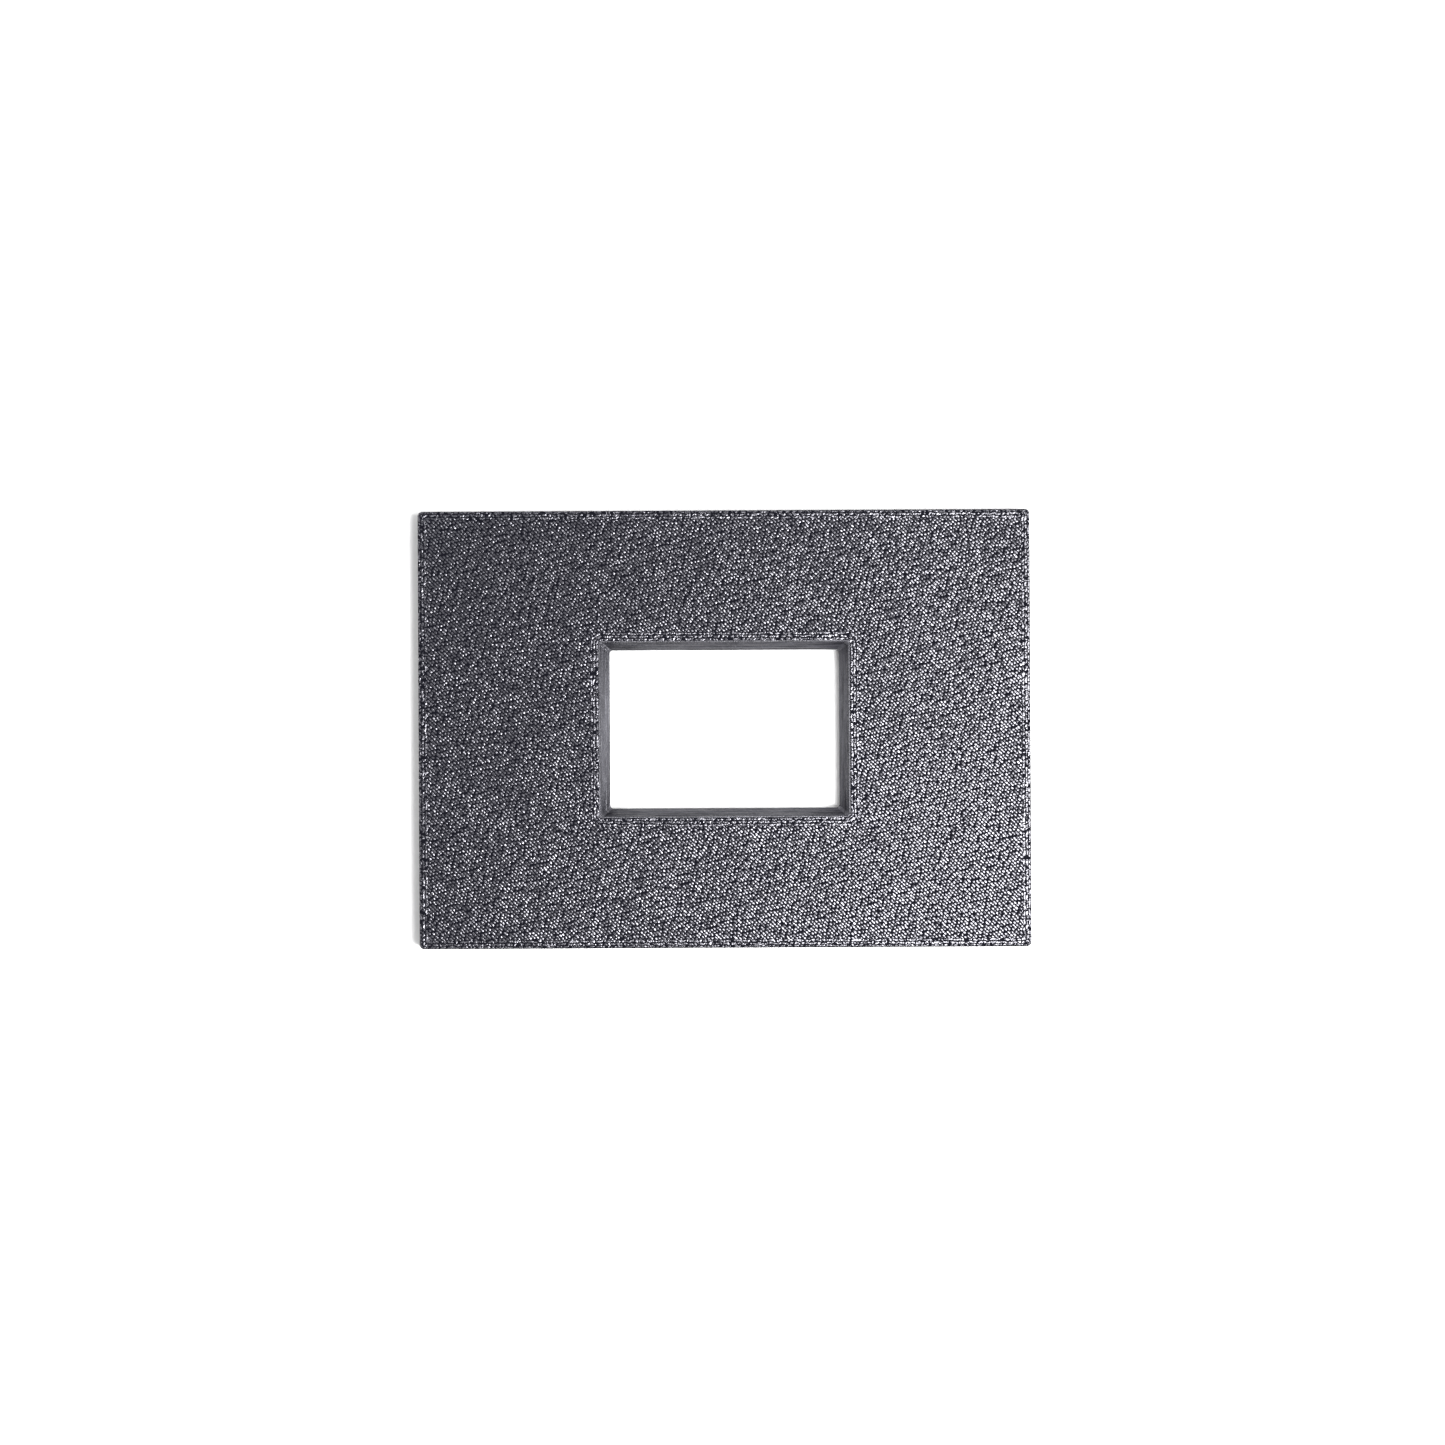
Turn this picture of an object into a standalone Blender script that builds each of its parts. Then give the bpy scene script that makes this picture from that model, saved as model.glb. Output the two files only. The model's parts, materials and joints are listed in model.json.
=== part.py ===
"""Two-plate negative carrier for 35 mm film.

Two printed plates lie face to face and hold a strip of film between them. Each has a window with walls
that slope outwards from the film. Six disc magnets in each plate pull the pair together, and four steel
pins held in the bottom plate locate the top plate, which lifts straight off.

Frame: X along the film, Y across it, Z up. The origin is the centre of the underside.
"""

import math

import bmesh
import bpy

# Driving sizes, in metres.
PLATE_LENGTH = 0.0986
PLATE_WIDTH = 0.0705
PLATE_THICKNESS = 0.0022
PLATE_CORNER_RADIUS = 0.0007
OUTER_RIM_RADIUS = 0.0003

WINDOW_LENGTH = 0.0370
WINDOW_WIDTH = 0.0255
WINDOW_CORNER_RADIUS = 0.0005
WINDOW_LAND = 0.0004
WINDOW_SLOPE_RUN_X = 0.00177
WINDOW_SLOPE_RUN_Y = 0.00151

FILM_WIDTH = 0.0350
FILM_SIDE_CLEARANCE = 0.0001
CHANNEL_DEPTH = 0.0002

MAGNET_DIAMETER = 0.0060
MAGNET_THICKNESS = 0.0010
MAGNET_EDGE_CHAMFER = 0.00015
MAGNET_RECESS = 0.0001
MAGNET_END_MARGIN = 0.0083

PIN_DIAMETER = 0.0030
PIN_END_CHAMFER = 0.0003
PIN_HOLE_FLOOR = 0.0006

SEAT_GAP = 0.0003
FIT_GAP = 0.0003
CUT_OVERRUN = 0.0010
SAME_PLACE = 0.000001

# Facets on the round shapes.
CORNER_SEGMENTS = 4
RIM_SEGMENTS = 2
WINDOW_CORNER_SEGMENTS = 3
MAGNET_FACETS = 36
PIN_FACETS = 24
SMOOTH_ANGLE = math.radians(30)

# Sizes and places that follow from those above.
CHANNEL_WIDTH = FILM_WIDTH + 2 * FILM_SIDE_CLEARANCE
RAIL_CENTRE_Y = (CHANNEL_WIDTH + PLATE_WIDTH) / 4
END_MAGNET_X = PLATE_LENGTH / 2 - MAGNET_END_MARGIN
PIN_X = END_MAGNET_X / 2
POCKET_DIAMETER = MAGNET_DIAMETER + 2 * FIT_GAP
POCKET_DEPTH = MAGNET_RECESS + MAGNET_THICKNESS + FIT_GAP
PIN_HOLE_DIAMETER = PIN_DIAMETER + 2 * FIT_GAP
PIN_HOLE_DEPTH = PLATE_THICKNESS - PIN_HOLE_FLOOR
PIN_LENGTH = 2 * (PIN_HOLE_DEPTH - FIT_GAP) + SEAT_GAP

RAILS_Y = (-RAIL_CENTRE_Y, RAIL_CENTRE_Y)
MAGNET_PLACES = [(x, y) for y in RAILS_Y for x in (-END_MAGNET_X, 0.0, END_MAGNET_X)]
PIN_PLACES = [(x, y) for y in RAILS_Y for x in (-PIN_X, PIN_X)]


def clear_scene():
    """Removes everything that the file starts with."""
    for obj in list(bpy.data.objects):
        bpy.data.objects.remove(obj, do_unlink=True)


def new_collection(name):
    """Adds a collection to the scene."""
    collection = bpy.data.collections.new(name)
    bpy.context.scene.collection.children.link(collection)
    return collection


def make_material(name, color, roughness, metallic):
    """A plain Principled material."""
    material = bpy.data.materials.new(name)
    material.use_nodes = True
    shader = material.node_tree.nodes["Principled BSDF"]
    shader.inputs["Base Color"].default_value = (*color, 1.0)
    shader.inputs["Roughness"].default_value = roughness
    shader.inputs["Metallic"].default_value = metallic
    return material


def new_mesh(name, shape):
    """Turns a bmesh into a mesh whose round faces are smooth."""
    mesh = bpy.data.meshes.new(name)
    shape.to_mesh(mesh)
    shape.free()
    mesh.shade_smooth()
    mesh.set_sharp_from_angle(angle=SMOOTH_ANGLE)
    return mesh


def add_frame(name, location, collection, rotation=(0.0, 0.0, 0.0)):
    """Adds an empty that carries the pieces of one side."""
    frame = bpy.data.objects.new(name, None)
    frame.location = location
    frame.rotation_euler = rotation
    collection.objects.link(frame)
    return frame


def add_object(name, mesh, collection, parent, location=(0.0, 0.0, 0.0)):
    """Places a mesh in its parent's frame."""
    obj = bpy.data.objects.new(name, mesh)
    obj.location = location
    obj.parent = parent
    collection.objects.link(obj)
    return obj


def cut(obj, name, shape, collection):
    """Takes a shape, given in the object's own frame, away from the object."""
    cutter = add_object(name, new_mesh(name, shape), collection, obj.parent)
    cutter.hide_render = True
    cutter.display_type = "WIRE"
    modifier = obj.modifiers.new(name, "BOOLEAN")
    modifier.operation = "DIFFERENCE"
    modifier.solver = "EXACT"
    modifier.object = cutter


def add_box(shape, length, width, z_low, z_high):
    """Adds a box that is centred on Z."""
    verts = bmesh.ops.create_cube(shape, size=1.0)["verts"]
    bmesh.ops.scale(shape, vec=(length, width, z_high - z_low), verts=verts)
    bmesh.ops.translate(shape, vec=(0.0, 0.0, (z_low + z_high) / 2), verts=verts)


def add_cylinder(shape, diameter, facets, z_low, z_high, place=(0.0, 0.0)):
    """Adds an upright cylinder at a place on the plate."""
    verts = bmesh.ops.create_cone(
        shape,
        cap_ends=True,
        segments=facets,
        radius1=diameter / 2,
        radius2=diameter / 2,
        depth=z_high - z_low,
    )["verts"]
    bmesh.ops.translate(shape, vec=(*place, (z_low + z_high) / 2), verts=verts)


def rise(edge):
    """How far an edge climbs."""
    return abs(edge.verts[0].co.z - edge.verts[1].co.z)


def round_edges(shape, edges, radius, segments):
    """Rounds the given edges."""
    bmesh.ops.bevel(
        shape, geom=edges, offset=radius, segments=segments, profile=0.5, affect="EDGES"
    )


def round_upright_edges(shape, radius, segments):
    """Rounds the edges that run up a shape's corners, straight or sloping."""
    round_edges(shape, [edge for edge in shape.edges if rise(edge) > SAME_PLACE], radius, segments)


def plate_shape():
    """A plate with no holes: inner face at Z 0, rounded corners and a rounded rim on the outer face."""
    shape = bmesh.new()
    add_box(shape, PLATE_LENGTH, PLATE_WIDTH, 0.0, PLATE_THICKNESS)
    round_upright_edges(shape, PLATE_CORNER_RADIUS, CORNER_SEGMENTS)
    rim_height = PLATE_THICKNESS - SAME_PLACE
    rim = [edge for edge in shape.edges if min(vert.co.z for vert in edge.verts) > rim_height]
    round_edges(shape, rim, OUTER_RIM_RADIUS, RIM_SEGMENTS)
    return shape


def window_shape(film_face_z):
    """The window: straight past the film, then sloping outwards to the outer face and beyond it."""
    slope_start = film_face_z + WINDOW_LAND
    slope_end = PLATE_THICKNESS + CUT_OVERRUN
    reach = (slope_end - slope_start) / (PLATE_THICKNESS - slope_start)
    shape = bmesh.new()
    add_box(shape, WINDOW_LENGTH, WINDOW_WIDTH, -CUT_OVERRUN, slope_end)
    bmesh.ops.bisect_plane(
        shape,
        geom=shape.verts[:] + shape.edges[:] + shape.faces[:],
        plane_co=(0.0, 0.0, slope_start),
        plane_no=(0.0, 0.0, 1.0),
    )
    for vert in shape.verts:
        if vert.co.z > slope_start + SAME_PLACE:
            vert.co.x += math.copysign(WINDOW_SLOPE_RUN_X * reach, vert.co.x)
            vert.co.y += math.copysign(WINDOW_SLOPE_RUN_Y * reach, vert.co.y)
    round_upright_edges(shape, WINDOW_CORNER_RADIUS, WINDOW_CORNER_SEGMENTS)
    return shape


def sockets_shape():
    """The magnet pockets and pin holes, which open on the inner face and stop short of the outer one."""
    shape = bmesh.new()
    for place in MAGNET_PLACES:
        add_cylinder(shape, POCKET_DIAMETER, MAGNET_FACETS, -CUT_OVERRUN, POCKET_DEPTH, place)
    for place in PIN_PLACES:
        add_cylinder(shape, PIN_HOLE_DIAMETER, PIN_FACETS, -CUT_OVERRUN, PIN_HOLE_DEPTH, place)
    return shape


def channel_shape():
    """The shallow channel that the film lies in, open at both ends of the plate."""
    shape = bmesh.new()
    add_box(shape, PLATE_LENGTH + 2 * CUT_OVERRUN, CHANNEL_WIDTH, -CUT_OVERRUN, CHANNEL_DEPTH)
    return shape


def magnet_shape():
    """A disc magnet with chamfered edges, its inner face set back from the plate's."""
    shape = bmesh.new()
    add_cylinder(
        shape, MAGNET_DIAMETER, MAGNET_FACETS, MAGNET_RECESS, MAGNET_RECESS + MAGNET_THICKNESS
    )
    rims = [edge for edge in shape.edges if rise(edge) < SAME_PLACE]
    round_edges(shape, rims, MAGNET_EDGE_CHAMFER, 1)
    return shape


def pin_shape():
    """A locating pin with chamfered ends, centred on its own length."""
    shape = bmesh.new()
    add_cylinder(shape, PIN_DIAMETER, PIN_FACETS, -PIN_LENGTH / 2, PIN_LENGTH / 2)
    rims = [edge for edge in shape.edges if rise(edge) < SAME_PLACE]
    round_edges(shape, rims, PIN_END_CHAMFER, 1)
    return shape


def add_plate(side, frame, film_face_z, material, parts, cutters):
    """Makes one printed plate with its window, magnet pockets and pin holes."""
    mesh = new_mesh(f"{side}_plate", plate_shape())
    mesh.materials.append(material)
    plate = add_object(f"{side}_plate", mesh, parts, frame)
    cut(plate, f"{side}_window", window_shape(film_face_z), cutters)
    cut(plate, f"{side}_sockets", sockets_shape(), cutters)
    return plate


def add_magnets(side, frame, mesh, parts):
    """Puts one side's magnets in their pockets."""
    for number, (x, y) in enumerate(MAGNET_PLACES, start=1):
        add_object(f"{side}_magnet_{number}", mesh, parts, frame, (x, y, 0.0))


def add_pins(frame, mesh, parts):
    """Stands the locating pins half in each plate."""
    for number, (x, y) in enumerate(PIN_PLACES, start=1):
        add_object(f"locating_pin_{number}", mesh, parts, frame, (x, y, -SEAT_GAP / 2))


def main():
    """Builds the carrier."""
    clear_scene()
    parts = new_collection("negative_carrier")
    cutters = new_collection("cutters")
    plastic = make_material("printed_plastic", (0.075, 0.075, 0.085), 0.45, 0.0)
    nickel = make_material("magnet_nickel", (0.62, 0.60, 0.56), 0.22, 1.0)
    steel = make_material("pin_steel", (0.55, 0.56, 0.58), 0.28, 1.0)

    # Each side's frame lies on its plate's inner face, with Z pointing to the plate's outer face.
    bottom = add_frame("bottom_side", (0.0, 0.0, PLATE_THICKNESS), parts, (math.pi, 0.0, 0.0))
    top = add_frame("top_side", (0.0, 0.0, PLATE_THICKNESS + SEAT_GAP), parts)

    bottom_plate = add_plate("bottom", bottom, CHANNEL_DEPTH, plastic, parts, cutters)
    cut(bottom_plate, "film_channel", channel_shape(), cutters)
    add_plate("top", top, 0.0, plastic, parts, cutters)

    magnet = new_mesh("disc_magnet", magnet_shape())
    magnet.materials.append(nickel)
    add_magnets("bottom", bottom, magnet, parts)
    add_magnets("top", top, magnet, parts)

    pin = new_mesh("locating_pin", pin_shape())
    pin.materials.append(steel)
    add_pins(bottom, pin, parts)


main()
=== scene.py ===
"""Looks of a printed negative carrier for 35 mm film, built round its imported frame.

Two printed plates meet on the film. Their outer faces carry the pebble of the bed they were printed on,
their window and side walls show the layers, and their inner faces show the lines of the last layer, the
channel for the film, the disc magnets and the locating pins.

Lengths are in metres. X runs along the film, Y across it and Z up, from the face that the carrier lies on.
"""

from __future__ import annotations

import json
import logging
import math
from collections.abc import Sequence
from dataclasses import astuple, dataclass, field, replace
from enum import Enum

import bmesh
import bpy
import numpy as np
from mathutils import Matrix, Vector


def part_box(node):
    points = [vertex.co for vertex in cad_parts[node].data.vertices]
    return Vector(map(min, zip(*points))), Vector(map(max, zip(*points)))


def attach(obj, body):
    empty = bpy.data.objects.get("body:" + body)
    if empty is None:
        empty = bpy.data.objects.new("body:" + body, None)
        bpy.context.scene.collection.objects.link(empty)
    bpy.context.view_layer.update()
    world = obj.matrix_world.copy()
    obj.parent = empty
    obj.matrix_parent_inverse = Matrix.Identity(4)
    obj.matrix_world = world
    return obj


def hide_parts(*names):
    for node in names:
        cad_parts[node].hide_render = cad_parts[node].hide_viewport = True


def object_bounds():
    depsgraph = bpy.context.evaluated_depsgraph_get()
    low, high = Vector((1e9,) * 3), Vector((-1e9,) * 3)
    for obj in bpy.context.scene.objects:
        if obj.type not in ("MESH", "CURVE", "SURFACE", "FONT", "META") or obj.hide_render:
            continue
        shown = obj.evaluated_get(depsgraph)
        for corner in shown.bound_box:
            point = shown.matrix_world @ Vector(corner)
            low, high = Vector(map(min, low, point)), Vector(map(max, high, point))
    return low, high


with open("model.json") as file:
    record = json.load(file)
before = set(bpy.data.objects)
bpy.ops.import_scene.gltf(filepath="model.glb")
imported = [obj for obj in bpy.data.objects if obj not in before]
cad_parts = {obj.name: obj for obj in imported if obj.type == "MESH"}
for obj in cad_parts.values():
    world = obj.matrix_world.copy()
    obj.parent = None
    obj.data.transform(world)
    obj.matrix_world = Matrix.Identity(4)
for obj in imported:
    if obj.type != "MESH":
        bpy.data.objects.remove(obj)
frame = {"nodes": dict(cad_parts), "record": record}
CAD_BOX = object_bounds()

LOG = logging.getLogger("negative_carrier")
MM = 0.001
# How far a cutting tool reaches past what it cuts.
TOOL_OVERRUN = 1.0 * MM
Color = tuple[float, float, float]
Corner = tuple[float, float]


class Signal:
    """A node's output that takes part in arithmetic, each operation adding a Math node."""

    def __init__(self, graph: NodeGraph, socket: bpy.types.NodeSocket) -> None:
        """Wraps a socket of a graph's node."""
        self.graph = graph
        self.socket = socket

    def sibling(self, name: str | int) -> Signal:
        """Another output of the same node."""
        return Signal(self.graph, self.socket.node.outputs[name])

    def math(self, operation: str, *others: Number, flipped: bool = False) -> Signal:
        """Adds a Math node.

        Args:
            operation: The Math node's operation.
            others: The values that follow this one.
            flipped: Whether this value comes last instead of first.

        Returns:
            The result.
        """
        values = [*others, self] if flipped else [self, *others]
        return self.graph.add("ShaderNodeMath", {"operation": operation}, dict(enumerate(values)))

    def __add__(self, other: Number) -> Signal:
        """self + other."""
        return self.math("ADD", other)

    __radd__ = __add__

    def __sub__(self, other: Number) -> Signal:
        """self - other."""
        return self.math("SUBTRACT", other)

    def __rsub__(self, other: Number) -> Signal:
        """other - self."""
        return self.math("SUBTRACT", other, flipped=True)

    def __mul__(self, other: Number) -> Signal:
        """self * other."""
        return self.math("MULTIPLY", other)

    __rmul__ = __mul__

    def __truediv__(self, other: Number) -> Signal:
        """self / other."""
        return self.math("DIVIDE", other)

    def __pow__(self, other: Number) -> Signal:
        """self ** other."""
        return self.math("POWER", other)

    def __abs__(self) -> Signal:
        """The size of the value without its sign."""
        return self.math("ABSOLUTE")

    def fraction(self) -> Signal:
        """What is left above the whole number below."""
        return self.math("FRACT")

    def least(self, other: Number) -> Signal:
        """The smaller of two values."""
        return self.math("MINIMUM", other)

    def most(self, other: Number) -> Signal:
        """The larger of two values."""
        return self.math("MAXIMUM", other)

    def fade(self, start: float, end: float) -> Signal:
        """A smooth rise from 0 at start to 1 at end."""
        settings = {"interpolation_type": "SMOOTHSTEP"}
        values = {"Value": self, "From Min": start, "From Max": end, "To Min": 0.0, "To Max": 1.0}
        return self.graph.add("ShaderNodeMapRange", settings, values)

    def between(self, low: float, high: float) -> Signal:
        """A value from 0 to 1 spread from low to high."""
        return self * (high - low) + low


Number = Signal | float


class NodeGraph:
    """Adds nodes to a shader or geometry tree, one call for each node."""

    def __init__(self, tree: bpy.types.NodeTree) -> None:
        """Starts on a tree."""
        self.tree = tree

    def add(
        self,
        kind: str,
        settings: dict[str, object] | None = None,
        values: dict[str | int, object] | None = None,
        out: str | int = 0,
    ) -> Signal:
        """Adds a node.

        Args:
            kind: The node's type.
            settings: The node's own properties, set first.
            values: What goes into its sockets, by name or number: a signal is linked, anything else is set.
            out: The output to hand back.

        Returns:
            That output.
        """
        node = self.tree.nodes.new(kind)
        for name, value in (settings or {}).items():
            setattr(node, name, value)
        for name, value in (values or {}).items():
            if isinstance(value, Signal):
                self.tree.links.new(value.socket, node.inputs[name])
            else:
                node.inputs[name].default_value = value
        return Signal(self, node.outputs[out]) if node.outputs else Signal(self, node.inputs[0])

    def axes(self, vector: Signal) -> tuple[Signal, Signal, Signal]:
        """The X, Y and Z of a vector."""
        split = self.add("ShaderNodeSeparateXYZ", values={0: vector})
        return split, split.sibling(1), split.sibling(2)

    def vector(self, x: Number = 0.0, y: Number = 0.0, z: Number = 0.0) -> Signal:
        """A vector from its three parts."""
        return self.add("ShaderNodeCombineXYZ", values={0: x, 1: y, 2: z})

    def scaled(self, vector: Signal, factors: Sequence[float]) -> Signal:
        """A vector with each part multiplied by its own factor."""
        return self.add("ShaderNodeVectorMath", {"operation": "MULTIPLY"}, {0: vector, 1: tuple(factors)})

    def noise(self, place: Signal, size: float, detail: float = 2.0, roughness: float = 0.5) -> Signal:
        """Soft random values from 0 to 1, in patches of about the given size."""
        values = {"Vector": place, "Scale": 1.0 / size, "Detail": detail, "Roughness": roughness}
        return self.add("ShaderNodeTexNoise", {"noise_dimensions": "3D"}, values)

    def blend(self, share: Number, low: Color, high: Color) -> Signal:
        """A colour between two."""
        values = {0: share, 6: (*low, 1.0), 7: (*high, 1.0)}
        return self.add("ShaderNodeMix", {"data_type": "RGBA", "clamp_factor": True}, values, out=2)


class ShaderGraph(NodeGraph):
    """A material's tree, which ends in one Principled shader."""

    def __init__(self, name: str) -> None:
        """Makes the material and its shader."""
        self.material = bpy.data.materials.new(name)
        self.material.use_nodes = True
        super().__init__(self.material.node_tree)
        self.shader = self.tree.nodes["Principled BSDF"]
        self.place = self.add("ShaderNodeTexCoord", out="Object")

    def finish(self, **values: object) -> bpy.types.Material:
        """Feeds the shader.

        Args:
            values: Each socket's signal or value, with _ for a space in its name.

        Returns:
            The material.
        """
        for name, value in values.items():
            socket = self.shader.inputs[name.replace("_", " ")]
            if isinstance(value, Signal):
                self.tree.links.new(value.socket, socket)
            else:
                socket.default_value = value
        return self.material

    def shadow(self, top: Signal, color: Color) -> None:
        """Paints shade into the crevices: a dull dark shader is mixed in there, standing for the shade that a
        bump cannot cast.

        Args:
            top: 0 in a crevice and 1 out of it.
            color: The colour of the painted shade.
        """
        painted_shade = self.add("ShaderNodeBsdfDiffuse", values={"Color": (*color, 1.0)})
        output = self.tree.nodes["Material Output"]
        shader = Signal(self, self.shader.outputs[0])
        mixed = self.add("ShaderNodeMixShader", values={0: top, 1: painted_shade, 2: shader})
        self.tree.links.new(mixed.socket, output.inputs["Surface"])

    def bump(self, height: Signal, distance: float, strength: float = 1.0) -> Signal:
        """A normal raised by a height from 0 to 1 that stands for the given distance."""
        values = {"Height": height, "Distance": distance, "Strength": strength}
        return self.add("ShaderNodeBump", values=values)


class Surface(Enum):
    """The kinds of surface that a printed plate has."""

    BED_FACE = 0
    WALL = 1
    LAST_LAYER = 2


@dataclass(frozen=True)
class PrintedPlastic:
    """Dark grey printed plastic, with the marks that printing leaves on each kind of surface."""

    # Colour of the painted shade in the outer face's crevices and in the low parts of the walls' streaks.
    crevice_shade_color: Color = (0.004, 0.004, 0.006)
    color: Color = (0.009, 0.009, 0.012)
    worn_color: Color = (0.012, 0.012, 0.016)
    gloss_color: tuple[float, float, float, float] = (0.93, 0.92, 1.0, 1.0)
    wall_color: Color = (0.026, 0.026, 0.031)
    gloss: float = 1.0
    roughness: tuple[float, float] = (0.22, 0.32)
    line_spacing: float = 0.457 * MM
    bead_length: float = 0.58 * MM
    ridge: float = 0.042 * MM
    bead: float = 0.026 * MM
    pitch: float = 0.105 * MM
    roll: float = 0.10 * MM
    lift: float = 0.006 * MM
    dust: float = 0.030 * MM
    # Weight of the dust noise that breaks up the painted crevice shade.
    crevice_shade_breakup: float = 0.8
    jumble: float = 0.6
    # Where the painted crevice shade fades from full to none.
    crevice: tuple[float, float] = (0.85, 0.25)
    loop_spacing: float = 0.47 * MM
    loop_count: int = 3
    grain_size: float = 1.3 * MM
    layer_height: float = 0.2 * MM

    def undulation(self, graph: NodeGraph, place: Signal) -> Signal:
        """The slow rise and fall of the print bed's own texture.

        Args:
            graph: A shader or a geometry tree.
            place: The point, in metres.

        Returns:
            A height from about 0 to 1.
        """
        flat = graph.scaled(place, (1.0, 1.0, 0.0))
        return graph.noise(flat, self.grain_size, detail=1.0)

    def material(self, surface: Surface, outline: Ring, window: Ring) -> bpy.types.Material:
        """Makes the finish for one kind of surface.

        Args:
            surface: Which surface it is for.
            outline: The plate's outline.
            window: The window's outline on that surface.

        Returns:
            The material.
        """
        graph = ShaderGraph(f"printed_plastic_{surface.name.lower()}")
        if surface is Surface.WALL:
            return self._wall(graph)
        if surface is Surface.LAST_LAYER:
            return self._last_layer(graph)
        return self._bed_face(graph, outline, window)

    def _lines(self, graph: ShaderGraph, outline: Ring, window: Ring) -> tuple[Signal, Signal, Signal]:
        """Where a point lies among the printed lines of the outer face.

        Args:
            graph: The material's tree.
            outline: The plate's outline.
            window: The window's outline.

        Returns:
            How many line spacings it lies across the lines, how many bead lengths along them, and how far in
            from the nearest edge.
        """
        x, y, _ = graph.axes(graph.place)
        from_outline, outline_run = self._inset(graph, outline, x, y)
        from_window, window_run = self._inset(graph, window, x, y)
        by_window = from_outline.math("GREATER_THAN", from_window * -1.0)
        inset = from_outline.least(from_window * -1.0)
        run = outline_run + (window_run - outline_run) * by_window
        inside = inset.math("GREATER_THAN", self.loop_count * self.loop_spacing)
        across = (x + y) * (math.sqrt(0.5) / self.line_spacing)
        along = (x - y) * (math.sqrt(0.5) / self.bead_length)
        loop = inset / self.loop_spacing
        loop_run = run / self.bead_length
        return loop + (across - loop) * inside, loop_run + (along - loop_run) * inside, inset

    @staticmethod
    def _inset(graph: ShaderGraph, ring: Ring, x: Signal, y: Signal) -> tuple[Signal, Signal]:
        """How far inside a ring a point lies, and how far along the ring's nearest side.

        Args:
            graph: The material's tree.
            ring: The ring.
            x: The point's X.
            y: The point's Y.

        Returns:
            The distance inside, below 0 outside, and the distance along.
        """
        over_x = abs(x) - (ring.half_x - ring.corner)
        over_y = abs(y) - (ring.half_y - ring.corner)
        round_part = (over_x.most(0.0) ** 2.0 + over_y.most(0.0) ** 2.0) ** 0.5
        flat_part = over_x.most(over_y).least(0.0)
        by_side = over_x.math("GREATER_THAN", over_y)
        return ring.corner - round_part - flat_part, x + (y - x) * by_side

    def _bed_face(self, graph: ShaderGraph, outline: Ring, window: Ring) -> bpy.types.Material:
        """The outer face, where each line broke up into beads on the textured bed.

        Args:
            graph: The material's tree.
            outline: The plate's outline.
            window: The window's outline.

        Returns:
            The material.
        """
        across, along, inset = self._lines(graph, outline, window)
        calm = (inset / self.loop_spacing).fade(self.loop_count - 0.1, self.loop_count + 0.1)
        sway = graph.noise(graph.place, 0.5 * MM, detail=0.0)
        sway_x, sway_y, _ = graph.axes(sway.sibling(1))
        across = across + (sway_x - 0.5) * calm.between(0.9, 0.24)
        along = along + (sway_y - 0.5) * calm.between(1.6, 0.5)
        row = across.math("FLOOR")
        beside = across.fraction() - 0.5
        beads = along + row * 100.5
        values = {"W": beads, "Scale": 1.0, "Randomness": self.jumble}
        cell = graph.add("ShaderNodeTexVoronoi", {"voronoi_dimensions": "1D", "feature": "F1"}, values)
        centre = cell.sibling("W")
        onward = beads - centre
        chance = graph.add("ShaderNodeTexWhiteNoise", {"noise_dimensions": "1D"}, {"W": centre}, out="Color")
        lean_x, lean_y, lift = graph.axes(chance)
        ridge = beside * beside * -4.0 * self.ridge * calm.between(0.7, 1.0)
        bead = onward * onward * -4.0 * self.bead
        lean = (lean_x - 0.5) * onward * self.pitch + (lean_y - 0.5) * beside * self.roll
        dust = graph.noise(graph.place, 0.34 * MM, detail=1.0)
        height = ridge + bead + lean + (lift - 0.5) * self.lift + dust * self.dust
        tone = graph.noise(graph.place, 9.0 * MM, detail=3.0)
        # Painted shade: the crevices between lines and beads are darkened with a dull dark shader.
        crevice = beside * beside * 5.0 + onward * onward * 4.0 + (dust - 0.5) * self.crevice_shade_breakup
        graph.shadow(crevice.fade(*self.crevice), self.crevice_shade_color)
        return graph.finish(
            Base_Color=graph.blend(tone, self.color, self.worn_color),
            Roughness=(dust * 0.9 + tone * 0.1).between(*self.roughness),
            Normal=graph.bump(height, 1.0),
            Specular_Tint=self.gloss_color,
            Specular_IOR_Level=self.gloss,
        )

    def _wall(self, graph: ShaderGraph) -> bpy.types.Material:
        """Side walls and window slopes, with a faint streak for each layer."""
        stretched = graph.scaled(graph.place, (0.04, 0.04, 1.0))
        streak = graph.noise(stretched, 0.34 * MM, detail=2.0, roughness=0.6)
        speck = graph.noise(graph.place, 0.24 * MM, detail=2.0)
        height = streak * 0.8 + speck * 0.2
        return graph.finish(
            # Low parts of the streaks take the crevice shade colour: random tone of the layers, with painted
            # shade in their grooves.
            Base_Color=graph.blend(height.fade(0.35, 0.65), self.crevice_shade_color, self.wall_color),
            Roughness=streak.between(0.26, 0.46),
            Normal=graph.bump(height, 0.26 * MM),
            Specular_Tint=self.gloss_color,
        )

    def _last_layer(self, graph: ShaderGraph) -> bpy.types.Material:
        """The inner face, smoother than the outer one, with streaks that the nozzle left."""
        streak = graph.noise(graph.place, 0.5 * MM, detail=4.0)
        tone = graph.noise(graph.place, 7.0 * MM)
        return graph.finish(
            Base_Color=graph.blend(streak * tone * 2.0, self.color, self.wall_color),
            Roughness=streak.between(0.26, 0.42),
            Normal=graph.bump(streak, 0.02 * MM),
        )


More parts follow.
